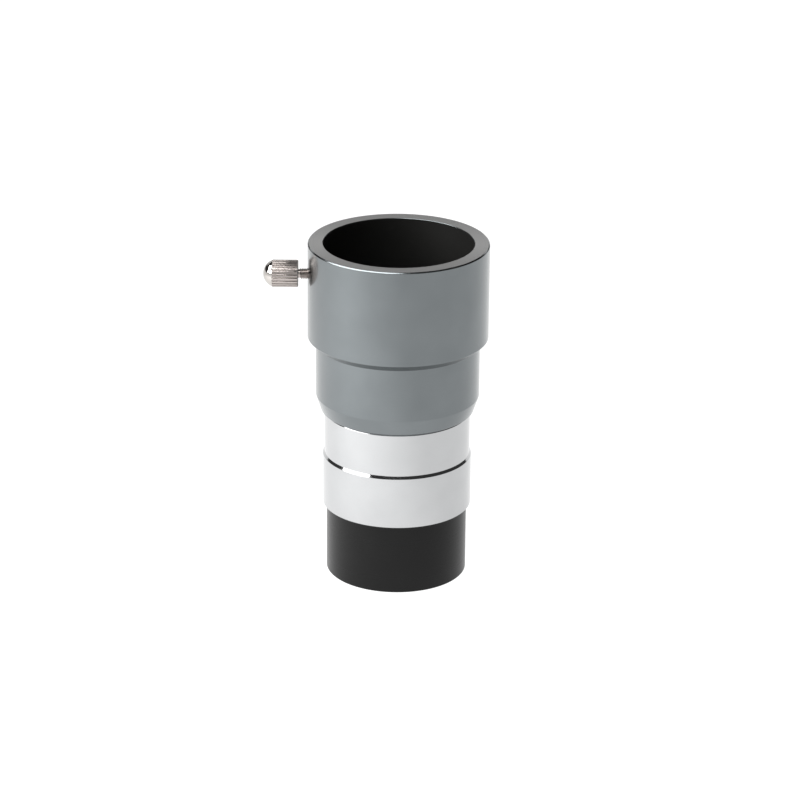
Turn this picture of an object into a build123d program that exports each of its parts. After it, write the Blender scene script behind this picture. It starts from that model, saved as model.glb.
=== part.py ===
"""Barlow lens for push-fit telescope eyepieces, one solid per sub-part.

Sizes are in millimetres. Z = 0 is the open end of the lens cell, on the
optical axis, and +Z runs up to the end that takes the eyepiece. The clamping
thumbscrew stands out towards -X.
"""
from build123d import *
import math
import os

os.makedirs("parts", exist_ok=True)

# Standard sizes: 1.25 inch push fit, M2.5 screw
nosepiece_diameter = 31.75
screw_thread_diameter = 2.5

# Walls that set the inside threads from the nosepiece: M28.5, M30 and M25.7
cell_thread_wall = 1.625
joint_thread_step = 0.875
retainer_thread_wall = 1.35

# Clearances, all on the radius
socket_clearance = 0.05
thread_clearance = 0.05
lens_clearance = 0.05
tip_clearance = 0.05

# Eyepiece holder
collar_wall = 3.225
collar_length = 20.65
collar_bevel_length = 1.55
neck_wall = 1.45
neck_length = 11.45
taper_length = 3.35
holder_end_wall = 1.3
throat_length = 7.8
socket_chamfer = 0.1
rim_chamfer = 0.25
end_edge_break = 0.1

# Nosepiece barrel
barrel_length = 21.6
land_length = 11.3
land_bevel_length = 0.6
waist_depth = 0.355
shoulder_bevel_length = 0.6
shoulder_bevel_width = 0.4
barrel_chamfer = 0.3
barrel_bore_step = 0.35
spigot_gap = 1.8
thread_run_out = 1.5
thread_entry_chamfer = 0.25

# Lens cell
skirt_set_back = 0.875
cell_skirt_length = 15.2
cell_thread_length = 5.0
thread_relief_width = 0.6
thread_relief_depth = 0.35
cell_edge_chamfer = 0.2
filter_recess_depth = 4.2
lens_ledge_thickness = 1.0
lens_ledge_width = 0.95
lens_pocket_step = 0.3

# Glass
lens_flat_width = 0.8
steep_radius = 28.65
shallow_radius = 518.0
crown_centre_thickness = 1.5
flint_edge_thickness = 1.27
lens_edge_bevel = 0.15

# Washer and retaining ring
washer_thickness = 0.3
washer_width = 0.7
retainer_height = 2.5
retainer_wall = 1.1
retainer_chamfer = 0.3
retainer_step = 0.2
spanner_slot_width = 1.2
spanner_slot_depth = 1.0

# Thumbscrew and its tip
screw_drop = 7.1
screw_stand_off = 1.95
head_diameter = 5.75
knurl_length = 5.5
knurl_chamfer = 0.15
dome_height = 1.9
dome_step = 0.1
flute_count = 24
flute_radius = 0.2
shank_chamfer = 0.2
hole_countersink = 0.15
tip_recess = 0.3
tip_disc_thickness = 0.5
tip_disc_gap = 0.35
tip_stem_diameter = 1.1
tip_stem_length = 1.2
tip_pocket_depth = 1.3

# Radii from the nosepiece outwards
land_radius = nosepiece_diameter / 2
socket_radius = land_radius + socket_clearance
collar_radius = socket_radius + collar_wall
neck_radius = socket_radius + neck_wall
female_joint_radius = land_radius - joint_thread_step
male_joint_radius = female_joint_radius - thread_clearance
holder_end_radius = female_joint_radius + holder_end_wall

# Radii from the nosepiece inwards
waist_radius = land_radius - waist_depth
skirt_radius = land_radius - skirt_set_back
female_cell_radius = land_radius - cell_thread_wall
male_cell_radius = female_cell_radius - thread_clearance
thread_relief_radius = male_cell_radius - thread_relief_depth
barrel_bore_radius = female_cell_radius - barrel_bore_step
female_retainer_radius = male_cell_radius - retainer_thread_wall
male_retainer_radius = female_retainer_radius - thread_clearance
retainer_inner_radius = male_retainer_radius - retainer_wall
lens_pocket_radius = female_retainer_radius - lens_pocket_step
lens_ledge_radius = lens_pocket_radius - lens_ledge_width
lens_radius = lens_pocket_radius - lens_clearance
lens_clear_radius = lens_radius - lens_flat_width
washer_inner_radius = lens_radius - washer_width

# Radii of the thumbscrew and its tip
screw_hole_radius = screw_thread_diameter / 2
shank_radius = screw_hole_radius - thread_clearance
tip_disc_radius = screw_hole_radius - tip_disc_gap
tip_stem_radius = tip_stem_diameter / 2
tip_pocket_radius = tip_stem_radius + tip_clearance

# Heights up the optical axis
cell_top = cell_skirt_length
cell_thread_top = cell_top + cell_thread_length
cell_socket_top = cell_thread_top + thread_run_out
barrel_top = cell_top + barrel_length
land_top = cell_top + land_length
socket_floor = barrel_top + throat_length
spigot_top = socket_floor - spigot_gap
taper_top = barrel_top + taper_length
neck_top = taper_top + neck_length
collar_bottom = neck_top + collar_bevel_length
rim = collar_bottom + collar_length
screw_height = rim - screw_drop


def dip(radius, reach):
    """Depth of a sphere of this radius at this distance from the axis."""
    return radius - math.sqrt(radius**2 - reach**2)


def lens_arc(vertex, radius, reach, side=1):
    """Half of a lens surface: it rises from its vertex for side 1 and falls for -1."""
    middle = reach / 2
    ThreePointArc(
        (0, vertex),
        (middle, vertex + side * dip(radius, middle)),
        (reach, vertex + side * dip(radius, reach)),
    )


# Heights inside the lens cell
lens_bottom = filter_recess_depth + lens_ledge_thickness
crown_lower_vertex = lens_bottom + dip(steep_radius, lens_clear_radius)
cement_vertex = crown_lower_vertex + crown_centre_thickness
cement_edge = cement_vertex + dip(steep_radius, lens_radius)
flint_top = cement_edge + flint_edge_thickness
flint_upper_vertex = flint_top - dip(shallow_radius, lens_clear_radius)
washer_top = flint_top + washer_thickness
retainer_top = washer_top + retainer_height
retainer_thread_bottom = washer_top - retainer_step

# Positions along the thumbscrew
head_face = -(collar_radius + screw_stand_off)
knurl_start = head_face - knurl_length
dome_tip = knurl_start - dome_height
tip_end = -(socket_radius + tip_recess)
shank_end = tip_end - tip_disc_thickness
screw_axis = Axis((0, 0, screw_height), (1, 0, 0))

# Eyepiece holder: collar, neck and threaded throat turned from one bar
with BuildPart() as eyepiece_holder:
    with BuildSketch(Plane.XZ):
        with BuildLine():
            Polyline(
                (female_joint_radius, barrel_top),
                (holder_end_radius, barrel_top),
                (neck_radius, taper_top),
                (neck_radius, neck_top),
                (collar_radius, collar_bottom),
                (collar_radius, rim),
                (socket_radius, rim),
                (socket_radius, socket_floor),
                (female_joint_radius, socket_floor),
                close=True,
            )
        make_face()
    revolve(axis=Axis.Z)
    circles = eyepiece_holder.edges().filter_by(GeomType.CIRCLE)
    rim_edges = circles.group_by(Axis.Z)[-1].sort_by(SortBy.RADIUS)
    end_edges = circles.group_by(Axis.Z)[0].sort_by(SortBy.RADIUS)
    chamfer(rim_edges[0], length=socket_chamfer)
    chamfer(rim_edges[-1], length=rim_chamfer)
    chamfer(end_edges[-1], length=end_edge_break)
    outside = Plane(origin=(-collar_radius, 0, screw_height), z_dir=(1, 0, 0))
    with BuildSketch(outside):
        Circle(screw_hole_radius)
    extrude(amount=collar_radius, mode=Mode.SUBTRACT)
    with BuildSketch(outside):
        Circle(screw_hole_radius + hole_countersink)
    with BuildSketch(outside.offset(hole_countersink)):
        Circle(screw_hole_radius)
    loft(mode=Mode.SUBTRACT)

# Nosepiece barrel: locating land, reduced waist and threaded spigot
with BuildPart() as nosepiece_barrel:
    with BuildSketch(Plane.XZ):
        with BuildLine():
            Polyline(
                (female_cell_radius, cell_top),
                (land_radius, cell_top),
                (land_radius, land_top),
                (waist_radius, land_top + land_bevel_length),
                (waist_radius, barrel_top - shoulder_bevel_length),
                (waist_radius - shoulder_bevel_width, barrel_top),
                (male_joint_radius, barrel_top),
                (male_joint_radius, spigot_top),
                (barrel_bore_radius, spigot_top),
                (barrel_bore_radius, cell_socket_top),
                (female_cell_radius, cell_socket_top),
                close=True,
            )
        make_face()
    revolve(axis=Axis.Z)
    circles = nosepiece_barrel.edges().filter_by(GeomType.CIRCLE)
    mouth_edges = circles.group_by(Axis.Z)[0].sort_by(SortBy.RADIUS)
    spigot_edges = circles.group_by(Axis.Z)[-1].sort_by(SortBy.RADIUS)
    chamfer(mouth_edges[0], length=thread_entry_chamfer)
    chamfer(mouth_edges[-1], length=barrel_chamfer)
    chamfer(spigot_edges[-1], length=thread_entry_chamfer)

# Lens cell: skirt, filter recess, lens ledge and male thread
with BuildPart() as lens_cell:
    with BuildSketch(Plane.XZ):
        with BuildLine():
            Polyline(
                (female_cell_radius, 0),
                (skirt_radius, 0),
                (skirt_radius, cell_top),
                (thread_relief_radius, cell_top),
                (thread_relief_radius, cell_top + thread_relief_width),
                (male_cell_radius, cell_top + thread_relief_width + thread_relief_depth),
                (male_cell_radius, cell_thread_top),
                (female_retainer_radius, cell_thread_top),
                (female_retainer_radius, retainer_thread_bottom),
                (lens_pocket_radius, retainer_thread_bottom),
                (lens_pocket_radius, lens_bottom),
                (lens_ledge_radius, lens_bottom),
                (lens_ledge_radius, filter_recess_depth),
                (female_cell_radius, filter_recess_depth),
                close=True,
            )
        make_face()
    revolve(axis=Axis.Z)
    circles = lens_cell.edges().filter_by(GeomType.CIRCLE)
    foot_edges = circles.group_by(Axis.Z)[0].sort_by(SortBy.RADIUS)
    thread_edges = circles.group_by(Axis.Z)[-1].sort_by(SortBy.RADIUS)
    chamfer(foot_edges[0], length=thread_entry_chamfer)
    chamfer(foot_edges[-1], length=cell_edge_chamfer)
    chamfer(thread_edges[-1], length=thread_entry_chamfer)
    chamfer(thread_edges[0], length=cell_edge_chamfer)

# Crown element: hollow on both sides, with a flat ground ring on the ledge
with BuildPart() as crown_lens:
    with BuildSketch(Plane.XZ):
        with BuildLine():
            Line((0, crown_lower_vertex), (0, cement_vertex))
            lens_arc(cement_vertex, steep_radius, lens_radius)
            Polyline(
                (lens_radius, cement_edge),
                (lens_radius, lens_bottom + lens_edge_bevel),
                (lens_radius - lens_edge_bevel, lens_bottom),
                (lens_clear_radius, lens_bottom),
            )
            lens_arc(crown_lower_vertex, steep_radius, lens_clear_radius, side=-1)
        make_face()
    revolve(axis=Axis.Z)

# Flint element: cemented into the crown's upper hollow
with BuildPart() as flint_lens:
    with BuildSketch(Plane.XZ):
        with BuildLine():
            Line((0, cement_vertex), (0, flint_upper_vertex))
            lens_arc(flint_upper_vertex, shallow_radius, lens_clear_radius)
            Polyline(
                (lens_clear_radius, flint_top),
                (lens_radius - lens_edge_bevel, flint_top),
                (lens_radius, flint_top - lens_edge_bevel),
                (lens_radius, cement_edge),
            )
            lens_arc(cement_vertex, steep_radius, lens_radius)
        make_face()
    revolve(axis=Axis.Z)

# Thin washer that keeps the retaining ring off the glass
with BuildPart() as lens_washer:
    with BuildSketch(Plane.XY.offset(flint_top)):
        Circle(lens_radius)
        Circle(washer_inner_radius, mode=Mode.SUBTRACT)
    extrude(amount=washer_thickness)

# Retaining ring with two slots for a spanner
with BuildPart() as lens_retaining_ring:
    with BuildSketch(Plane.XY.offset(washer_top)):
        Circle(male_retainer_radius)
        Circle(retainer_inner_radius, mode=Mode.SUBTRACT)
    extrude(amount=retainer_height)
    circles = lens_retaining_ring.edges().filter_by(GeomType.CIRCLE)
    chamfer(circles.group_by(Axis.Z)[-1].sort_by(SortBy.RADIUS)[0], length=retainer_chamfer)
    with BuildSketch(Plane.XY.offset(retainer_top)):
        Rectangle(2 * female_retainer_radius, spanner_slot_width)
    extrude(amount=-spanner_slot_depth, mode=Mode.SUBTRACT)

# Thumbscrew: domed and fluted head on a threaded shank
with BuildPart() as thumbscrew:
    with BuildSketch(Plane.XZ):
        with BuildLine():
            dome_radius = head_diameter / 2 - dome_step
            dome_sphere = (dome_radius**2 + dome_height**2) / (2 * dome_height)
            dome_middle = dome_radius / 2
            ThreePointArc(
                (dome_tip, screw_height),
                (dome_tip + dip(dome_sphere, dome_middle), screw_height + dome_middle),
                (knurl_start, screw_height + dome_radius),
            )
            Polyline(
                (knurl_start, screw_height + dome_radius),
                (knurl_start, screw_height + head_diameter / 2 - knurl_chamfer),
                (knurl_start + knurl_chamfer, screw_height + head_diameter / 2),
                (head_face - knurl_chamfer, screw_height + head_diameter / 2),
                (head_face, screw_height + head_diameter / 2 - knurl_chamfer),
                (head_face, screw_height + shank_radius),
                (shank_end - shank_chamfer, screw_height + shank_radius),
                (shank_end, screw_height + shank_radius - shank_chamfer),
                (shank_end, screw_height),
                (dome_tip, screw_height),
            )
        make_face()
    revolve(axis=screw_axis)
    with BuildSketch(Plane(origin=(head_face, 0, screw_height), z_dir=(-1, 0, 0))):
        with PolarLocations(head_diameter / 2, flute_count):
            Circle(flute_radius)
    extrude(amount=knurl_length, mode=Mode.SUBTRACT)
    with BuildSketch(Plane(origin=(shank_end, 0, screw_height), z_dir=(-1, 0, 0))):
        Circle(tip_pocket_radius)
    extrude(amount=tip_pocket_depth, mode=Mode.SUBTRACT)

# Soft tip: its stem sits in the shank's pocket and its disc bears on the eyepiece
with BuildPart() as clamp_tip:
    with BuildSketch(Plane(origin=(shank_end, 0, screw_height), z_dir=(1, 0, 0))):
        Circle(tip_disc_radius)
    extrude(amount=tip_disc_thickness)
    with BuildSketch(Plane(origin=(shank_end, 0, screw_height), z_dir=(-1, 0, 0))):
        Circle(tip_stem_radius)
    extrude(amount=tip_stem_length)

# Files, one per sub-part
eyepiece_holder.part.label = "eyepiece_holder"
export_step(eyepiece_holder.part, "parts/eyepiece_holder.step")

nosepiece_barrel.part.label = "nosepiece_barrel"
export_step(nosepiece_barrel.part, "parts/nosepiece_barrel.step")

lens_cell.part.label = "lens_cell"
export_step(lens_cell.part, "parts/lens_cell.step")

crown_lens.part.label = "crown_lens"
export_step(crown_lens.part, "parts/crown_lens.step")

flint_lens.part.label = "flint_lens"
export_step(flint_lens.part, "parts/flint_lens.step")

lens_washer.part.label = "lens_washer"
export_step(lens_washer.part, "parts/lens_washer.step")

lens_retaining_ring.part.label = "lens_retaining_ring"
export_step(lens_retaining_ring.part, "parts/lens_retaining_ring.step")

thumbscrew.part.label = "thumbscrew"
export_step(thumbscrew.part, "parts/thumbscrew.step")

clamp_tip.part.label = "clamp_tip"
export_step(clamp_tip.part, "parts/clamp_tip.step")
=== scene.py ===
# %% [markdown]
# # A barlow lens, built piece by piece
# A barlow is a short tube that goes between a telescope and its eyepiece. This one has a grey
# anodised holder with a thumbscrew, a bright plated nosepiece, and a black cell with two
# cemented lenses. Nearly all of it is turned on a lathe, so the lesson is mostly about spinning
# outlines, cutting threads and giving each metal its own finish. Everything is in metres, and
# the optical axis is the Z axis. The script starts by loading the measured frame.

# %% Load the frame
import math

import bmesh
import bpy
from mathutils import Matrix, Vector


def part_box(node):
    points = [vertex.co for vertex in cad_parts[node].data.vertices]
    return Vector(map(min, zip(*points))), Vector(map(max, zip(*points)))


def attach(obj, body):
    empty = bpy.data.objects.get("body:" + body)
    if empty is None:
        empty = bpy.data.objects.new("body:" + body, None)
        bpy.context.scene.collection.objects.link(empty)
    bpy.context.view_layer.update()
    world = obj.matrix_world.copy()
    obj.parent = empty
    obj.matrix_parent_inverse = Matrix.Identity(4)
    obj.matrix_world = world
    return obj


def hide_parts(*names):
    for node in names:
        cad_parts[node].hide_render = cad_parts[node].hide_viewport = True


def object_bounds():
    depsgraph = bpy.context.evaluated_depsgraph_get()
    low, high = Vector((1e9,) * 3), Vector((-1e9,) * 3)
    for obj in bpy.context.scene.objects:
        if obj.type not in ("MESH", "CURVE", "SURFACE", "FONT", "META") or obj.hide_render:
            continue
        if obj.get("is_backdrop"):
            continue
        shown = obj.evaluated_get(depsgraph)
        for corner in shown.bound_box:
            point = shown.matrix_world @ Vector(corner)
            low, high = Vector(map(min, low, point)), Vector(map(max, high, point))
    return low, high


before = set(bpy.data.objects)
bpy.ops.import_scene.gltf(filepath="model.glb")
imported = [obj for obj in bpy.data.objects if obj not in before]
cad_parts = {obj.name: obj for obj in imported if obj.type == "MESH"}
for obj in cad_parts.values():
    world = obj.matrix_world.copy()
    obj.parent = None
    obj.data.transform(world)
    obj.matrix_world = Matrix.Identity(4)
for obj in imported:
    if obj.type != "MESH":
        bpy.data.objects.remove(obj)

cad_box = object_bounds()
print("nodes:", ", ".join(sorted(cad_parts)))
print("frame box in mm:", [[round(1000 * c, 2) for c in corner] for corner in cad_box])

# %% [markdown]
# ## Sizes
# The frame already holds every part at its real size, so heights and outer radii are read from
# its boxes. Only what a box can't tell, such as bores, bevels and thread pitches, is named here.

# %% Heights and outer radii from the frame
mm = 0.001
barrel_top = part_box("eyepiece_holder")[0].z
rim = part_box("eyepiece_holder")[1].z
collar_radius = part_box("eyepiece_holder")[1].y
cell_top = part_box("nosepiece_barrel")[0].z
spigot_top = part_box("nosepiece_barrel")[1].z
land_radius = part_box("nosepiece_barrel")[1].x
cell_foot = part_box("lens_cell")[0].z
cell_thread_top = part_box("lens_cell")[1].z
skirt_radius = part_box("lens_cell")[1].x
lens_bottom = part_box("crown_lens")[0].z
cement_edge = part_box("crown_lens")[1].z
lens_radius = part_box("crown_lens")[1].x
cement_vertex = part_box("flint_lens")[0].z
flint_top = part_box("flint_lens")[1].z
washer_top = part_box("lens_washer")[1].z
retainer_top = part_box("lens_retaining_ring")[1].z
retainer_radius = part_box("lens_retaining_ring")[1].x
screw_low, screw_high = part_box("thumbscrew")
head_radius = screw_high.y
screw_height = (screw_low.z + screw_high.z) / 2
tip_low, tip_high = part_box("clamp_tip")
print(f"rim {rim / mm:.2f} mm, collar radius {collar_radius / mm:.2f} mm")
print(f"screw axis at {screw_height / mm:.2f} mm")
print(f"cemented face from {cement_vertex / mm:.2f} to {cement_edge / mm:.2f} mm")

# %% Bores, bevels and threads
socket_clearance = 0.05 * mm
neck_wall = 1.45 * mm
collar_length = 20.65 * mm
collar_bevel_length = 1.55 * mm
taper_length = 3.35 * mm
holder_end_wall = 1.3 * mm
throat_length = 7.8 * mm
mouth_chamfer = 0.1 * mm
rim_chamfer = 0.25 * mm
land_length = 11.3 * mm
land_bevel_length = 0.6 * mm
waist_depth = 0.355 * mm
shoulder_bevel_length = 0.6 * mm
shoulder_bevel_width = 0.4 * mm
barrel_chamfer = 0.3 * mm
joint_thread_step = 0.875 * mm
cell_thread_wall = 1.625 * mm
barrel_bore_step = 0.35 * mm
thread_run_out = 1.5 * mm
thread_clearance = 0.05 * mm
thread_chamfer = 0.25 * mm
filter_recess = 4.2 * mm
filter_pitch = 0.6 * mm
joint_pitch = 0.75 * mm
screw_pitch = 0.45 * mm

socket_radius = land_radius + socket_clearance
neck_radius = socket_radius + neck_wall
joint_radius = land_radius - joint_thread_step
waist_radius = land_radius - waist_depth
female_thread_radius = land_radius - cell_thread_wall
male_thread_radius = female_thread_radius - thread_clearance
barrel_bore_radius = female_thread_radius - barrel_bore_step
land_top = cell_top + land_length
socket_floor = barrel_top + throat_length
taper_top = barrel_top + taper_length
collar_bottom = rim - collar_length
neck_top = collar_bottom - collar_bevel_length
print(f"socket radius {socket_radius / mm:.3f} mm, throat radius {joint_radius / mm:.3f} mm")

# %% [markdown]
# ## Camera
# A product is often shown from a little above through a long lens, which keeps the tube's sides
# nearly parallel. The camera stands a good three quarters of a metre away and leans by half a
# degree, because hand-set cameras are seldom level.

# %% Camera
camera_distance = 0.761
camera_elevation = math.radians(21.58)
camera_lean = math.radians(0.55)
aim = Vector((0.00055, 0, 0.0383))

camera = bpy.data.objects.new("camera", bpy.data.cameras.new("camera"))
camera.data.sensor_width = 36
camera.data.lens = 160.6
camera.data.clip_start = 0.01
camera.data.clip_end = 50
toward_camera = Vector((0, -math.cos(camera_elevation), math.sin(camera_elevation)))
camera.matrix_world = (
    Matrix.Translation(aim + camera_distance * toward_camera)
    @ Matrix.Rotation(math.pi / 2 - camera_elevation, 4, "X")
    @ Matrix.Rotation(camera_lean, 4, "Z")
)
bpy.context.scene.collection.objects.link(camera)
bpy.context.scene.camera = camera
print("camera at", [round(c, 4) for c in camera.matrix_world.translation])

# %% [markdown]
# ## Colour and node helpers
# Colours are easiest to judge as the hex values of a paint program, but shaders add light in
# linear values, so one function turns the first into the second. A second fills a node's
# sockets, with a link where it is given another node's output and with a plain value otherwise.
# A third adds a node, sets the node's own options and then fills its sockets.

# %% Colour and node helpers
def linear(hex_colour):
    """The linear RGBA of an sRGB colour such as 8e9798."""
    channels = [int(hex_colour[i : i + 2], 16) / 255 for i in (0, 2, 4)]
    return [c / 12.92 if c <= 0.04045 else ((c + 0.055) / 1.055) ** 2.4 for c in channels] + [1]


def fill_sockets(tree, node, sockets):
    """Link or set each named socket of a node."""
    for socket, value in sockets.items():
        if isinstance(value, bpy.types.NodeSocket):
            tree.links.new(value, node.inputs[socket])
        else:
            node.inputs[socket].default_value = value


def add_node(tree, kind, sockets=None, **options):
    """Add a node, set its options, then fill its sockets."""
    node = tree.nodes.new(kind)
    for option, value in options.items():
        setattr(node, option, value)
    fill_sockets(tree, node, sockets or {})
    return node


def new_finish(name):
    """An empty material; it gives back the material, its node tree and its shader."""
    material = bpy.data.materials.new(name)
    material.use_nodes = True
    return material, material.node_tree, material.node_tree.nodes["Principled BSDF"]


# %% [markdown]
# ## Turning marks
# A lathe tool leaves a very fine spiral. On the tube's side it shows as rings stacked along the
# axis, and on a flat end as rings round the centre. One number covers both: the distance from
# the axis plus the height. A one-dimensional noise along that number gives rings of uneven
# depth. The real feed is about 0.05 mm, too fine to show, so the rings are drawn coarser.

# %% Turning marks
noise_reach = 0.25


def ring_noise(tree, spacing):
    """Noise in rings about the Z axis, with this distance between rings."""
    place = add_node(tree, "ShaderNodeTexCoord").outputs["Object"]
    flat = add_node(tree, "ShaderNodeVectorMath", {0: place, 1: (1, 1, 0)}, operation="MULTIPLY")
    radius = add_node(tree, "ShaderNodeVectorMath", {0: flat.outputs[0]}, operation="LENGTH")
    parts = add_node(tree, "ShaderNodeSeparateXYZ", {0: place})
    walk = add_node(
        tree, "ShaderNodeMath", {0: radius.outputs["Value"], 1: parts.outputs["Z"]}, operation="ADD"
    )
    return add_node(
        tree,
        "ShaderNodeTexNoise",
        {"W": walk.outputs[0], "Scale": 1 / spacing, "Detail": 3, "Roughness": 0.6},
        noise_dimensions="1D",
    )


def spot_noise(tree, size):
    """Noise in soft spots of about this size."""
    place = add_node(tree, "ShaderNodeTexCoord").outputs["Object"]
    return add_node(tree, "ShaderNodeTexNoise", {"Vector": place, "Scale": 1 / size, "Detail": 3})


def spread(tree, noise, low, high):
    """Stretch a noise's middle values over a range."""
    return add_node(
        tree,
        "ShaderNodeMapRange",
        {0: noise.outputs[0], 1: 0.5 - noise_reach, 2: 0.5 + noise_reach, 3: low, 4: high},
    ).outputs[0]


def blend_colours(tree, share, first, second):
    """Mix two hex colours by a share."""
    return add_node(
        tree,
        "ShaderNodeMix",
        {0: share, 6: linear(first), 7: linear(second)},
        data_type="RGBA",
    ).outputs[2]


def relief(tree, noise, height):
    """A bump this many metres high."""
    return add_node(
        tree, "ShaderNodeBump", {"Height": noise.outputs[0], "Distance": height, "Strength": 1}
    ).outputs[0]


print("ring and spot patterns ready")

# %% [markdown]
# ## Grey anodised aluminium
# The holder is turned from aluminium bar, dyed grey and sealed in an acid bath. The oxide skin
# is clear and hard, so the eye sees two layers: soft metal below, and a thin glossy skin above
# that mirrors only what is seen at a shallow angle. That is a metallic base with a coat. The
# side is turned with a fine feed and looks smooth. The end face is cut across with a coarser
# feed, so its rings show. Grooves spread a highlight across themselves, which is anisotropy: the
# tangent runs round the axis, and a quarter turn sends the spread across the grooves. The skin
# on the torn metal of a cut end is cloudy, so half of its light is scattered and the metal share
# is one half there. Both surfaces are one recipe with different marks.

# %% Grey anodised aluminium
def anodising(name, first, second, spacing, depth, gloss, by_ring, stretch, metal):
    """Grey anodising over turning marks; by_ring says how far the marks show in the colour."""
    material, tree, shader = new_finish(name)
    marks = ring_noise(tree, spacing)
    clouds = spot_noise(tree, 9 * mm)
    share = add_node(
        tree,
        "ShaderNodeMix",
        {0: by_ring, 2: spread(tree, clouds, 0, 1), 3: spread(tree, marks, 0, 1)},
    ).outputs[0]
    around = add_node(tree, "ShaderNodeTangent", direction_type="RADIAL", axis="Z")
    fill_sockets(tree, shader, {
        "Base Color": blend_colours(tree, share, first, second),
        "Roughness": spread(tree, marks, *gloss),
        "Normal": relief(tree, marks, depth),
        "Tangent": around.outputs[0],
        "Anisotropic": stretch,
        "Anisotropic Rotation": 0.25,
        "Metallic": metal,
        "Coat Weight": 0.3,
        "Coat Roughness": 0.1,
        "Coat IOR": 1.5,
    })
    return material


grey_anodised = anodising(
    "grey_anodised_aluminium", "6e7375", "767b7d", 0.22 * mm, 0.0004 * mm, (0.18, 0.26), 0.1, 0.2, 1
)
faced_end = anodising(
    "faced_anodised_aluminium", "535352", "686867", 0.25 * mm, 0.002 * mm, (0.26, 0.38), 0.9, 0.7, 0.5
)
print(grey_anodised.name, faced_end.name)

# %% [markdown]
# ## Matt black paint
# Stray light inside a tube spoils the image, so every inside wall is sprayed dead black. The
# paint is rough enough that it never shows a clear highlight, with a fine grain of pigment.

# %% Matt black paint
black_paint, tree, shader = new_finish("matt_black_paint")
grain = spot_noise(tree, 0.12 * mm)
fill_sockets(tree, shader, {
    "Base Color": blend_colours(tree, spread(tree, grain, 0, 1), "0f0f0e", "191816"),
    "Normal": relief(tree, grain, 0.004 * mm),
    "Roughness": 0.62,
    "Specular IOR Level": 0.3,
})
print(black_paint.name)

# %% [markdown]
# ## Bright chrome plate
# The nosepiece is brass, polished and then plated with nickel and a little chrome. Chrome is a
# slightly cool grey mirror. Polishing leaves the faintest waves along the tube and a few hair
# lines round it, which keep the reflection from looking computed.

# %% Bright chrome plate
chrome_plate, tree, shader = new_finish("bright_chrome_plate")
hairlines = ring_noise(tree, 0.3 * mm)
clouds = spot_noise(tree, 6 * mm)
fill_sockets(tree, shader, {
    "Base Color": blend_colours(tree, spread(tree, clouds, 0, 1), "b9babb", "bebfc0"),
    "Roughness": spread(tree, hairlines, 0.07, 0.13),
    "Normal": relief(tree, hairlines, 0.0001 * mm),
    "Metallic": 1,
})
print(chrome_plate.name)

# %% [markdown]
# ## Black anodised aluminium
# The cell is dyed black and left satin. Dye soaks up nearly all the light that gets through the
# oxide, so the metal no longer shows, and what is left is a dark plastic-like sheen that turns
# grey towards the tube's edges.

# %% Black anodised aluminium
black_anodised, tree, shader = new_finish("black_anodised_aluminium")
marks = ring_noise(tree, 0.2 * mm)
clouds = spot_noise(tree, 5 * mm)
fill_sockets(tree, shader, {
    "Base Color": blend_colours(tree, spread(tree, clouds, 0, 1), "0c0c0c", "101010"),
    "Roughness": spread(tree, marks, 0.26, 0.36),
    "Normal": relief(tree, marks, 0.0008 * mm),
    "IOR": 1.29,
})
print(black_anodised.name)

# %% [markdown]
# ## Nickel plate
# The thumbscrew is nickel plated. Nickel is a little warmer and darker than chrome. A small
# part is barrel polished: the open dome comes out bright, while the stones hardly reach the
# flutes and the thread, so those stay satin.

# %% Nickel plate
def nickel(name, first, second, gloss, depth):
    """Nickel over a fine polishing grain."""
    material, tree, shader = new_finish(name)
    grain = spot_noise(tree, 0.25 * mm)
    fill_sockets(tree, shader, {
        "Base Color": blend_colours(tree, spread(tree, grain, 0, 1), first, second),
        "Roughness": spread(tree, grain, *gloss),
        "Normal": relief(tree, grain, depth),
        "Metallic": 1,
    })
    return material


bright_nickel = nickel("bright_nickel_plate", "b8b4b0", "bebab6", (0.06, 0.1), 0.00005 * mm)
satin_nickel = nickel("satin_nickel_plate", "a9a19d", "afa8a4", (0.22, 0.26), 0.00006 * mm)
print(bright_nickel.name, satin_nickel.name)

# %% [markdown]
# ## White nylon
# A soft plug in the screw's end keeps it from marking an eyepiece. Nylon is a milky plastic
# that lets a little light in, so some of its colour comes from below the surface.

# %% White nylon
white_nylon, tree, shader = new_finish("milky_white_nylon")
grain = spot_noise(tree, 0.2 * mm)
fill_sockets(tree, shader, {
    "Base Color": blend_colours(tree, spread(tree, grain, 0, 1), "e6e3da", "efece4"),
    "Normal": relief(tree, grain, 0.004 * mm),
    "Roughness": 0.42,
    "IOR": 1.53,
    "Subsurface Weight": 0.15,
    "Subsurface Scale": 0.4 * mm,
})
print(white_nylon.name)

# %% [markdown]
# ## Glass, cement and blacked edges
# The lens is two elements glued together. Its outer faces carry a quarter-wave coating, about
# 110 nm thick, which leaves a faint violet reflection: the shader's thin film makes that by
# itself. Optical cement bends light like the glass on both sides of it, so it can't be seen, and
# a transparent face stands for it. The edges are ground and blacked to stop glare.

# %% Glass, cement and blacked edges
def coated_glass(name, index):
    """Clear glass of this refractive index under a quarter-wave coating."""
    material, tree, shader = new_finish(name)
    polish = spot_noise(tree, 3 * mm)
    fill_sockets(tree, shader, {
        "Base Color": linear("fcfefd"),
        "Roughness": 0,
        "IOR": index,
        "Transmission Weight": 1,
        "Thin Film Thickness": 110,
        "Thin Film IOR": 1.38,
        "Normal": relief(tree, polish, 0.00002 * mm),
    })
    return material


crown_glass = coated_glass("coated_crown_glass", 1.517)
flint_glass = coated_glass("coated_flint_glass", 1.617)

optical_cement, tree, shader = new_finish("optical_cement")
clear = add_node(tree, "ShaderNodeBsdfTransparent")
tree.links.new(clear.outputs[0], tree.nodes["Material Output"].inputs["Surface"])
tree.nodes.remove(shader)

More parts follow.
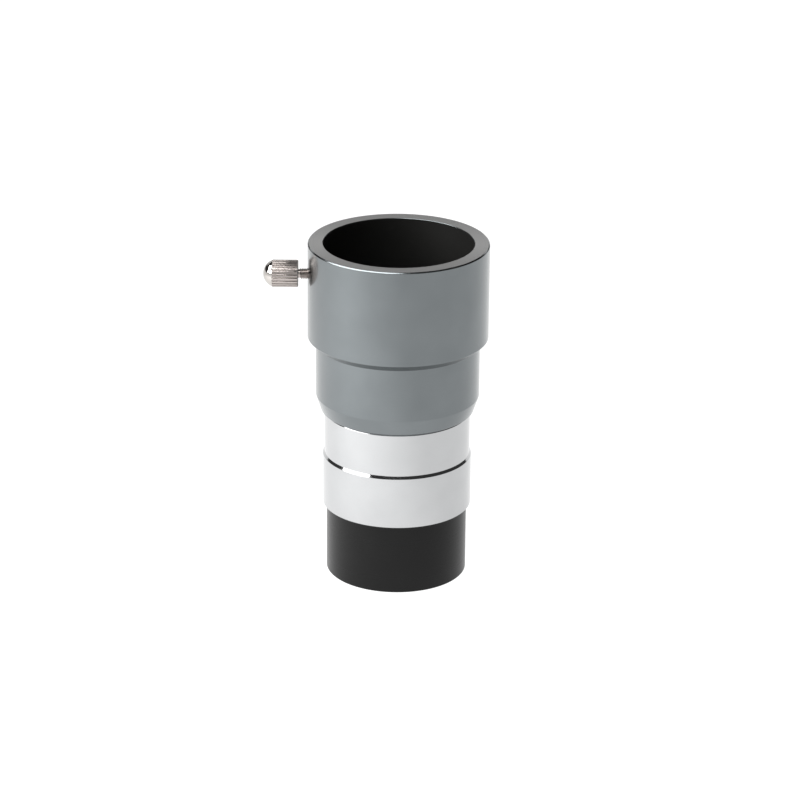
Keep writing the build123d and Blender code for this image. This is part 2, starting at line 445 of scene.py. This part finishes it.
blacked_edge, tree, shader = new_finish("ground_and_blacked_glass")
grain = spot_noise(tree, 0.1 * mm)
fill_sockets(tree, shader, {
    "Base Color": blend_colours(tree, spread(tree, grain, 0, 1), "141414", "202022"),
    "Normal": relief(tree, grain, 0.006 * mm),
    "Roughness": 0.7,
})

black_film, tree, shader = new_finish("black_polyester_film")
grain = spot_noise(tree, 0.3 * mm)
fill_sockets(tree, shader, {
    "Base Color": blend_colours(tree, spread(tree, grain, 0, 1), "121212", "1a1a1a"),
    "Roughness": spread(tree, grain, 0.4, 0.52),
    "IOR": 1.64,
})
print(crown_glass.name, flint_glass.name, optical_cement.name, blacked_edge.name, black_film.name)

# %% [markdown]
# ## Turning a solid from an outline
# A lathe makes a shape from an outline that goes round an axis, and the spin operator does the
# same: it sweeps a few joined vertices through a full turn. A real edge is never perfectly
# sharp, so the outline's corners are first rounded with a small vertex bevel. An outline that
# touches the axis leaves a stack of vertices at the pole, so doubles are merged afterwards, and
# the normals are worked out again because a spin can turn a shape inside out.

# %% Turning a solid from an outline
round_steps = 256
smallest_corner = math.radians(14)
weld_distance = 0.0001 * mm


def turn(outline, edge_break, steps=round_steps):
    """Spin a closed outline of (radius, height) points about Z, with its corners rounded."""
    shape = bmesh.new()
    corners = [shape.verts.new((radius, 0, height)) for radius, height in outline]
    for i, corner in enumerate(corners):
        if corner.co.x > 0 or corners[i - 1].co.x > 0:
            shape.edges.new((corners[i - 1], corner))
    sharp = []
    for i, corner in enumerate(corners):
        before = corner.co - corners[i - 1].co
        after = corners[(i + 1) % len(corners)].co - corner.co
        if corner.co.x > 0 and before.angle(after) > smallest_corner:
            sharp.append(corner)
    bmesh.ops.bevel(
        shape, geom=sharp, offset=edge_break, offset_type="OFFSET", segments=3, profile=0.5,
        affect="VERTICES", material=-1, clamp_overlap=True,
    )
    bmesh.ops.spin(
        shape, geom=shape.verts[:] + shape.edges[:], cent=(0, 0, 0), axis=(0, 0, 1),
        angle=2 * math.pi, steps=steps, use_merge=True, use_duplicate=False,
    )
    bmesh.ops.remove_doubles(shape, verts=shape.verts, dist=weld_distance)
    bmesh.ops.recalc_face_normals(shape, faces=shape.faces)
    return shape


# %% [markdown]
# ## Winding a thread
# A screw thread is one pointed ridge wound up a helix. Spin can lift its section a little at
# every step, which winds it. The section's foot is sunk into the wall so that ridge and wall
# are one solid, and both ends fade into the wall, as they do where a cutting tool runs out. The
# section's half widths, at its foot and at its tip, are shares of the pitch.

# %% Winding a thread
ridge_sink = 0.06 * mm
foot_share = 0.43
tip_share = 0.07
first_fade = 0.02
fade_turns = 0.6


def wind_thread(root, crest, pitch, start, end, steps_per_turn=96):
    """Wind a ridge from root radius to crest radius, between two heights on the Z axis."""
    sink = ridge_sink if crest > root else -ridge_sink
    foot, tip = pitch * foot_share, pitch * tip_share
    section = [(root - sink, -foot), (root, -foot), (crest, -tip)]
    section += [(radius, -height) for radius, height in reversed(section)]
    steps = round((end - start - 2 * foot) / pitch * steps_per_turn)
    shape = bmesh.new()
    corners = [shape.verts.new((radius, 0, start + foot + height)) for radius, height in section]
    for i, corner in enumerate(corners):
        shape.edges.new((corners[i - 1], corner))
    bmesh.ops.spin(
        shape, geom=corners + shape.edges[:], cent=(0, 0, 0), axis=(0, 0, 1),
        dvec=(0, 0, pitch / steps_per_turn), angle=2 * math.pi * steps / steps_per_turn,
        steps=steps, use_merge=False, use_duplicate=False,
    )
    for i, vertex in enumerate(shape.verts):
        step = i // len(section)
        fade = min(1, (min(step, steps - step) / steps_per_turn + first_fade) / fade_turns)
        radius = vertex.co.xy.length
        faded = root - sink + (radius - root + sink) * fade
        vertex.co.xy *= faded / radius
    bmesh.ops.holes_fill(shape, edges=[e for e in shape.edges if e.is_boundary], sides=0)
    bmesh.ops.recalc_face_normals(shape, faces=shape.faces)
    return shape


# %% [markdown]
# ## Adding and cutting solids
# Holes and slots are cut with a boolean modifier, and threads are joined to their cores with
# one. The modifier's result is kept as plain mesh and the tools are deleted, so nothing stays
# live. A finished piece is shaded smooth except across its real corners, and each face gets a
# finish by where it lies, give or take a skin's thickness.

# %% Adding and cutting solids
sharp_angle = math.radians(40)
skin = 0.02 * mm


def as_object(shape, name):
    """Put a bmesh in a new object."""
    mesh = bpy.data.meshes.new(name)
    shape.to_mesh(mesh)
    shape.free()
    thing = bpy.data.objects.new(name, mesh)
    bpy.context.scene.collection.objects.link(thing)
    return thing


def combine(base, tools, operation):
    """Join or cut closed solids, and give back one bmesh."""
    body = as_object(base, "body")
    helpers = [as_object(tool, "tool") for tool in tools]
    for helper in helpers:
        step = body.modifiers.new(operation.lower(), "BOOLEAN")
        step.operation = operation
        step.solver = "MANIFOLD"
        step.object = helper
    result = bmesh.new()
    result.from_object(body, bpy.context.evaluated_depsgraph_get())
    for thing in [body, *helpers]:
        mesh = thing.data
        bpy.data.objects.remove(thing)
        bpy.data.meshes.remove(mesh)
    return result


def finish_piece(shape, name, finishes, body, choose=None):
    """Turn a bmesh into a shaded piece that stands for its frame node and rides on a body."""
    piece = as_object(shape, name)
    for finish in finishes:
        piece.data.materials.append(finish)
    if choose:
        for face in piece.data.polygons:
            face.material_index = choose(face)
    piece.data.shade_smooth()
    piece.data.set_sharp_from_angle(angle=sharp_angle)
    weights = piece.modifiers.new("even_shading", "WEIGHTED_NORMAL")
    weights.keep_sharp = True
    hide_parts(name.replace("_looks", ""))
    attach(piece, body)
    triangles = sum(len(face.vertices) - 2 for face in piece.data.polygons)
    finished = bmesh.new()
    finished.from_mesh(piece.data)
    open_edges = sum(not edge.is_manifold for edge in finished.edges)
    finished.free()
    print(f"{name}: {triangles} triangles, {open_edges} open edges")


# %% [markdown]
# ## Eyepiece holder
# One turned tube: a thick collar at the top that takes the thumbscrew, a slimmer neck, a short
# taper, and a threaded throat inside where the nosepiece screws in. It could be three cylinders,
# but then the bevels between them would be guesswork, so it is one outline. The screw's hole is
# drilled from the left. A few turns of thread show in the throat above the nosepiece.

# %% Eyepiece holder
holder_end_radius = joint_radius + holder_end_wall
end_break = 0.1 * mm
holder = turn(
    [
        (joint_radius, barrel_top),
        (holder_end_radius - end_break, barrel_top),
        (holder_end_radius, barrel_top + end_break),
        (neck_radius, taper_top),
        (neck_radius, neck_top),
        (collar_radius, collar_bottom),
        (collar_radius, rim - rim_chamfer),
        (collar_radius - rim_chamfer, rim),
        (socket_radius + mouth_chamfer, rim),
        (socket_radius, rim - mouth_chamfer),
        (socket_radius, socket_floor),
        (joint_radius, socket_floor),
    ],
    edge_break=0.05 * mm,
)
along_screw = Matrix.Translation((0, 0, screw_height)) @ Matrix.Rotation(math.pi / 2, 4, "Y")
hole_radius = 1.25 * mm
countersink = 0.15 * mm
drill_overrun = 1 * mm
throat_thread_depth = 0.42 * mm
thread_end_gap = 0.1 * mm
drill = turn(
    [
        (0, -collar_radius - drill_overrun),
        (hole_radius + countersink + drill_overrun, -collar_radius - drill_overrun),
        (hole_radius, -collar_radius + countersink),
        (hole_radius, -socket_radius + drill_overrun),
        (0, -socket_radius + drill_overrun),
    ],
    edge_break=0.02 * mm,
    steps=64,
)
drill.transform(along_screw)
throat_thread = wind_thread(
    joint_radius, joint_radius - throat_thread_depth, joint_pitch,
    spigot_top + thread_end_gap, socket_floor - thread_end_gap,
)
holder = combine(holder, [drill], "DIFFERENCE")
holder = combine(holder, [throat_thread], "UNION")


def holder_finish(face):
    """Paint on the inside walls, a faced end on the rim, plain anodising everywhere else."""
    middle = face.center
    if middle.z > rim - skin:
        return 2
    inside = middle.xy.length < socket_radius + skin and middle.z < rim - mouth_chamfer
    return 1 if inside and middle.z > barrel_top + end_break else 0


finish_piece(
    holder, "eyepiece_holder_looks", [grey_anodised, black_paint, faced_end], "holder",
    holder_finish,
)

# %% [markdown]
# ## Nosepiece barrel
# The part that slides into the telescope's focuser. Its lower half is the full 1.25 inch size,
# and above a short bevel it is a hair slimmer, which the focuser's own screw can bear on. The
# spigot at the top is hidden in the holder.

# %% Nosepiece barrel
barrel = turn(
    [
        (female_thread_radius + thread_chamfer, cell_top),
        (land_radius - barrel_chamfer, cell_top),
        (land_radius, cell_top + barrel_chamfer),
        (land_radius, land_top),
        (waist_radius, land_top + land_bevel_length),
        (waist_radius, barrel_top - shoulder_bevel_length),
        (waist_radius - shoulder_bevel_width, barrel_top),
        (joint_radius - thread_clearance, barrel_top),
        (joint_radius - thread_clearance, spigot_top - thread_chamfer),
        (joint_radius - thread_clearance - thread_chamfer, spigot_top),
        (barrel_bore_radius, spigot_top),
        (barrel_bore_radius, cell_thread_top + thread_run_out),
        (female_thread_radius, cell_thread_top + thread_run_out),
        (female_thread_radius, cell_top + thread_chamfer),
    ],
    edge_break=0.04 * mm,
)


def barrel_finish(face):
    """Paint in the bore, plate outside."""
    return 1 if face.center.xy.length < barrel_bore_radius + skin else 0


finish_piece(
    barrel, "nosepiece_barrel_looks", [chrome_plate, black_paint], "holder",
    barrel_finish,
)

# %% [markdown]
# ## Lens cell
# A black skirt with a male thread on top and, at its open end, the female thread that every
# 1.25 inch filter fits. Both are the same size and pitch. The ledge inside carries the lens.

# %% Lens cell
thread_relief = 0.6 * mm
relief_depth = 0.35 * mm
ledge_width = 0.95 * mm
pocket_clearance = 0.05 * mm
retainer_step = 0.2 * mm
cell_chamfer = 0.2 * mm
filter_thread_depth = 0.32 * mm
filter_end_gap = 0.3 * mm
pocket_radius = lens_radius + pocket_clearance
ledge_radius = pocket_radius - ledge_width
retainer_bore = retainer_radius + thread_clearance
core_radius = male_thread_radius - relief_depth
cell = turn(
    [
        (female_thread_radius + thread_chamfer, cell_foot),
        (skirt_radius - cell_chamfer, cell_foot),
        (skirt_radius, cell_foot + cell_chamfer),
        (skirt_radius, cell_top),
        (core_radius, cell_top),
        (core_radius, cell_thread_top),
        (retainer_bore + cell_chamfer, cell_thread_top),
        (retainer_bore, cell_thread_top - cell_chamfer),
        (retainer_bore, washer_top - retainer_step),
        (pocket_radius, washer_top - retainer_step),
        (pocket_radius, lens_bottom),
        (ledge_radius, lens_bottom),
        (ledge_radius, filter_recess),
        (female_thread_radius, filter_recess),
        (female_thread_radius, cell_foot + thread_chamfer),
    ],
    edge_break=0.05 * mm,
)
male_thread = wind_thread(
    core_radius, male_thread_radius, filter_pitch,
    cell_top + thread_relief, cell_thread_top - thread_end_gap,
)
filter_thread = wind_thread(
    female_thread_radius, female_thread_radius - filter_thread_depth, filter_pitch,
    cell_foot + filter_end_gap, filter_recess - filter_end_gap,
)
cell = combine(cell, [male_thread, filter_thread], "UNION")
finish_piece(cell, "lens_cell_looks", [black_anodised], "cell")

# %% [markdown]
# ## The two lens elements
# The crown is hollow on both sides and the flint fills its upper hollow; together they spread
# the light cone. A lens face is part of a sphere, so each outline follows one: the depth of a
# sphere at a distance from the axis is the only formula needed.

# %% The two lens elements
steep_radius = 28.65 * mm
shallow_radius = 518 * mm
lens_flat = 0.8 * mm
lens_bevel = 0.15 * mm
clear_radius = lens_radius - lens_flat
arc_steps = 20
edge_slope = 0.3
cement_reach = 0.05 * mm


def dip(radius, reach):
    """Depth of a sphere of this radius at this distance from the axis."""
    return radius - math.sqrt(radius**2 - reach**2)


def lens_face(vertex, radius, reach, side=1):
    """Points from the axis out along a lens face that rises from its vertex, or falls for -1."""
    stations = [reach * i / arc_steps for i in range(arc_steps + 1)]
    return [(station, vertex + side * dip(radius, station)) for station in stations]


def lens_finish(cement_up):
    """Coating on the outer face, cement between the elements, blacking round the edge."""

    def choose(face):
        reach = face.center.xy.length
        on_edge = abs(face.normal.z) < edge_slope
        if not on_edge and (face.normal.z > 0) == cement_up:
            joint_height = cement_vertex + dip(steep_radius, reach)
            if abs(face.center.z - joint_height) < cement_reach:
                return 1
        return 2 if on_edge or reach > clear_radius + skin / 2 else 0

    return choose


crown = turn(
    lens_face(lens_bottom + dip(steep_radius, clear_radius), steep_radius, clear_radius, -1)
    + [(lens_radius - lens_bevel, lens_bottom), (lens_radius, lens_bottom + lens_bevel)]
    + lens_face(cement_vertex, steep_radius, lens_radius)[::-1],
    edge_break=0.02 * mm,
    steps=128,
)
finish_piece(
    crown, "crown_lens_looks", [crown_glass, optical_cement, blacked_edge], "optics",
    lens_finish(cement_up=True),
)

flint = turn(
    lens_face(cement_vertex, steep_radius, lens_radius)
    + [(lens_radius, flint_top - lens_bevel), (lens_radius - lens_bevel, flint_top)]
    + lens_face(flint_top - dip(shallow_radius, clear_radius), shallow_radius, clear_radius)[::-1],
    edge_break=0.02 * mm,
    steps=128,
)
finish_piece(
    flint, "flint_lens_looks", [flint_glass, optical_cement, blacked_edge], "optics",
    lens_finish(cement_up=False),
)

# %% [markdown]
# ## Washer and retaining ring
# A film washer keeps metal off the glass, and a thin threaded ring clamps the stack. Two slots
# across the ring take a lens spanner.

# %% Washer and retaining ring
washer_width = 0.7 * mm
washer_inner = lens_radius - washer_width
washer = turn(
    [
        (washer_inner, flint_top),
        (lens_radius, flint_top),
        (lens_radius, washer_top),
        (washer_inner, washer_top),
    ],
    edge_break=0.02 * mm,
    steps=128,
)
finish_piece(washer, "lens_washer_looks", [black_film], "optics")

ring_width = 1.1 * mm
ring_chamfer = 0.3 * mm
ring_inner = retainer_radius - ring_width
retaining_ring = turn(
    [
        (ring_inner, washer_top),
        (retainer_radius, washer_top),
        (retainer_radius, retainer_top),
        (ring_inner + ring_chamfer, retainer_top),
        (ring_inner, retainer_top - ring_chamfer),
    ],
    edge_break=0.04 * mm,
)
slot_width = 1.2 * mm
slot_depth = 1.0 * mm
slot_length = 2 * retainer_radius + 1 * mm
slot_cutter = bmesh.new()
bmesh.ops.create_cube(slot_cutter, size=1)
bmesh.ops.scale(
    slot_cutter, vec=(slot_length, slot_width, 2 * slot_depth), verts=slot_cutter.verts
)
bmesh.ops.translate(slot_cutter, vec=(0, 0, retainer_top), verts=slot_cutter.verts)
retaining_ring = combine(retaining_ring, [slot_cutter], "DIFFERENCE")
finish_piece(
    retaining_ring, "lens_retaining_ring_looks", [black_anodised], "cell"
)

# %% [markdown]
# ## Thumbscrew
# A fluted grip with a domed end on a fine threaded shank. The grip starts as one flute's
# outline, a scallop and a bit of land, which is copied round a circle, filled, and drawn out
# along the axis. The dome and the shank are turned. All three are made on the Z axis and then
# laid down onto the screw's own axis.

# %% Thumbscrew
flute_count = 24
flute_radius = 0.2 * mm
knurl_chamfer = 0.15 * mm
knurl_length = 5.5 * mm
dome_height = 1.9 * mm
dome_step = 0.1 * mm
shank_radius = 1.2 * mm
overlap = 0.05 * mm
lip_rounding = 0.05 * mm
lip_angle = math.radians(50)
scallop_steps = 4
dome_tip = screw_low.x
shank_end = screw_high.x
knurl_start = dome_tip + dome_height
head_face = knurl_start + knurl_length


def flute_outline(shape):
    """Draw one flute and the land beside it on the grip's circle."""
    half_flute = 2 * math.asin(flute_radius / head_radius / 2)
    sweep = math.acos(flute_radius / head_radius / 2)
    scallop = [sweep * i / scallop_steps for i in range(-scallop_steps, scallop_steps + 1)]
    points = [
        (head_radius - flute_radius * math.cos(a), flute_radius * math.sin(a)) for a in scallop
    ]
    land = 2 * math.pi / flute_count - 2 * half_flute
    angles = [half_flute + land * i / scallop_steps for i in range(1, scallop_steps + 1)]
    points += [(head_radius * math.cos(a), head_radius * math.sin(a)) for a in angles]
    corners = [shape.verts.new((x, y, knurl_start - overlap)) for x, y in points]
    for first, second in zip(corners, corners[1:]):
        shape.edges.new((first, second))


def fluted_grip():
    """The grip: flutes copied round, filled, drawn out, and chamfered at both ends."""
    shape = bmesh.new()
    flute_outline(shape)
    bmesh.ops.spin(
        shape, geom=shape.verts[:] + shape.edges[:], cent=(0, 0, 0), axis=(0, 0, 1),
        angle=2 * math.pi * (flute_count - 1) / flute_count, steps=flute_count - 1,
        use_merge=False, use_duplicate=True,
    )
    bmesh.ops.remove_doubles(shape, verts=shape.verts, dist=weld_distance)
    end_face = bmesh.ops.contextual_create(shape, geom=shape.edges[:])["faces"][0]
    narrow = (head_radius - knurl_chamfer) / head_radius
    bmesh.ops.scale(shape, vec=(narrow, narrow, 1), verts=shape.verts)
    middle_length = knurl_length + overlap - 2 * knurl_chamfer
    for length, widen in ((knurl_chamfer, 1 / narrow), (middle_length, 1), (knurl_chamfer, narrow)):
        region = [end_face, *end_face.edges]
        drawn = bmesh.ops.extrude_face_region(shape, geom=region)["geom"]
        end_face = [part for part in drawn if isinstance(part, bmesh.types.BMFace)][0]
        bmesh.ops.scale(shape, vec=(widen, widen, 1), verts=end_face.verts)
        bmesh.ops.translate(shape, vec=(0, 0, length), verts=end_face.verts)
    bmesh.ops.recalc_face_normals(shape, faces=shape.faces)
    lips = [
        edge for edge in shape.edges
        if edge.calc_length() > middle_length / 2 and edge.calc_face_angle() > lip_angle
    ]
    bmesh.ops.bevel(
        shape, geom=lips, offset=lip_rounding, offset_type="OFFSET", segments=3, profile=0.5,
        affect="EDGES", material=-1, clamp_overlap=True,
    )
    return shape


dome_radius = head_radius - dome_step
dome_sphere = (dome_radius**2 + dome_height**2) / (2 * dome_height)
shank_thread_depth = 0.61 * screw_pitch
shank_core = shank_radius - shank_thread_depth
shank_chamfer = 0.1 * mm
shank_thread_start = head_face + 0.12 * mm
shank_thread_end = shank_end - 0.08 * mm
pocket_bore = 0.6 * mm
pocket_depth = 1.3 * mm
dome_steps = 24
dome_stations = [
    dome_radius * math.sin(math.pi / 2 * i / dome_steps) for i in range(dome_steps + 1)
]
spindle = turn(
    [(station, dome_tip + dip(dome_sphere, station)) for station in dome_stations]
    + [
        (shank_core, knurl_start),
        (shank_core, shank_end - shank_chamfer),
        (shank_core - shank_chamfer, shank_end),
        (pocket_bore, shank_end),
        (pocket_bore, shank_end - pocket_depth),
        (0, shank_end - pocket_depth),
    ],
    edge_break=0.04 * mm,
    steps=96,
)
shank_thread = wind_thread(
    shank_core, shank_radius, screw_pitch, shank_thread_start, shank_thread_end,
    steps_per_turn=64,
)
thumbscrew = combine(spindle, [fluted_grip(), shank_thread], "UNION")
thumbscrew.transform(along_screw)


def screw_finish(face):
    """Bright on the dome, satin on the grip and the shank."""
    return 0 if face.center.x < knurl_start - skin else 1


finish_piece(
    thumbscrew, "thumbscrew_looks", [bright_nickel, satin_nickel], "screw",
    screw_finish,
)

# %% [markdown]
# ## Clamp tip
# The plug has a stem that sits in the shank and a small disc that bears on the eyepiece. It
# slides with the screw but doesn't turn against what it clamps.

# %% Clamp tip
tip_disc_radius = tip_high.y
tip_stem_radius = 0.55 * mm
clamp_tip = turn(
    [
        (0, tip_low.x),
        (tip_stem_radius, tip_low.x),
        (tip_stem_radius, shank_end),
        (tip_disc_radius, shank_end),
        (tip_disc_radius, tip_high.x),
        (0, tip_high.x),
    ],
    edge_break=0.12 * mm,
    steps=64,
)
clamp_tip.transform(along_screw)
finish_piece(clamp_tip, "clamp_tip_looks", [white_nylon], "screw_tip")

# %% [markdown]
# ## Floor
# Small bright objects are often shown on a sheet of white acrylic with a lamp under it. It gives
# off light of its own, so shadows all but vanish, and its light is what the polished sides
# mirror. It lies a little below the part, clear of the cell when that is screwed out, and it is
# clear from beneath so that the part can be looked at from there.

# %% Floor
floor_drop = 4.6 * mm
floor_reach = 6
floor_shape = bmesh.new()
bmesh.ops.create_grid(floor_shape, x_segments=1, y_segments=1, size=floor_reach)
bmesh.ops.translate(floor_shape, vec=(0, 0, cad_box[0].z - floor_drop), verts=floor_shape.verts)
floor = as_object(floor_shape, "floor")
floor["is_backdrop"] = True

acrylic, tree, shader = new_finish("lit_white_acrylic")
lamp_place = (-0.17, -0.085, 0)
lamp_reach = 0.24
sheet_glow = 1.0
lamp_glow = 1.82
place = add_node(tree, "ShaderNodeTexCoord").outputs["Object"]
to_lamp = [-c / lamp_reach for c in lamp_place]
from_lamp = add_node(
    tree,
    "ShaderNodeMapping",
    {"Vector": place, "Location": to_lamp, "Scale": [1 / lamp_reach] * 3},
)
glow = add_node(
    tree, "ShaderNodeTexGradient", {"Vector": from_lamp.outputs[0]}, gradient_type="SPHERICAL"
)
strength = add_node(
    tree, "ShaderNodeMapRange", {0: glow.outputs[1], 1: 0, 2: 1, 3: sheet_glow, 4: lamp_glow}
)
fill_sockets(tree, shader, {
    "Base Color": linear("505050"),
    "Roughness": 0.9,
    "Emission Color": linear("ffffff"),
    "Emission Strength": strength.outputs[0],
})
underneath = add_node(tree, "ShaderNodeNewGeometry").outputs["Backfacing"]
unseen = add_node(tree, "ShaderNodeBsdfTransparent").outputs[0]
one_sided = add_node(
    tree, "ShaderNodeMixShader", {0: underneath, 1: shader.outputs[0], 2: unseen}
)
tree.links.new(one_sided.outputs[0], tree.nodes["Material Output"].inputs["Surface"])
floor.data.materials.append(acrylic)
print("floor", floor_drop / mm, "mm below the part")

# %% [markdown]
# ## Studio
# Polished metal shows what stands round it, so the room matters more than the lamps. The upper
# room is dark grey, so that bevels have something black to mirror, and it turns white just at
# the horizon, where it meets the floor. Four soft boxes stand in it. The large one at the front
# left models the tube, the strip overhead draws the bright edge of the rim, and the low ones
# behind and in front put a soft sheen on the rim's flat face.

# %% Studio
world = bpy.data.worlds.new("studio")
world.use_nodes = True
bpy.context.scene.world = world
tree = world.node_tree
look = add_node(tree, "ShaderNodeTexCoord").outputs["Generated"]
height = add_node(tree, "ShaderNodeSeparateXYZ", {0: look}).outputs["Z"]
band = add_node(tree, "ShaderNodeValToRGB", {0: height})
stops = band.color_ramp.elements
stops[0].position, stops[0].color = 0.0, linear("ffffff")
stops[1].position, stops[1].color = 1.0, linear("6a6a6a")
for position, grey in ((0.02, "ffffff"), (0.04, "404040"), (0.6, "404040")):
    stops.new(position).color = linear(grey)
fill_sockets(tree, tree.nodes["Background"], {"Color": band.outputs[0], "Strength": 1})

lamp_aim = Vector((0, 0, 0.05))


def soft_box(name, place, width, height, power, roll=0):
    """A rectangular lamp that faces the part, rolled by some degrees about its own beam."""
    lamp = bpy.data.lights.new(name, "AREA")
    lamp.shape = "RECTANGLE"
    lamp.size, lamp.size_y = width, height
    lamp.energy = power
    box = bpy.data.objects.new(name, lamp)
    box.location = place
    facing = (lamp_aim - Vector(place)).to_track_quat("-Z", "Y").to_matrix()
    box.rotation_euler = (facing @ Matrix.Rotation(math.radians(roll), 3, "Z")).to_euler()
    bpy.context.scene.collection.objects.link(box)


soft_box("front_left_box", (-0.72, -0.29, 0.35), 0.66, 0.4, 4)
soft_box("overhead_strip", (-0.41, -0.13, 0.75), 1.1, 0.35, 8, roll=35)
soft_box("back_box", (0, 0.8, 0.37), 1.4, 0.16, 1.0)
soft_box("front_box", (0, -0.85, 0.39), 0.6, 0.16, 0.45)
bpy.context.scene.view_settings.view_transform = "Standard"

# %% [markdown]
# The looks must stay inside the box of the measured frame, so the last lines print how far each
# corner of their box lies from the frame's corner.

looks_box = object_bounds()
for corner, other in zip(cad_box, looks_box):
    print([round((b - a) / mm, 3) for a, b in zip(corner, other)], "mm from the frame's corner")
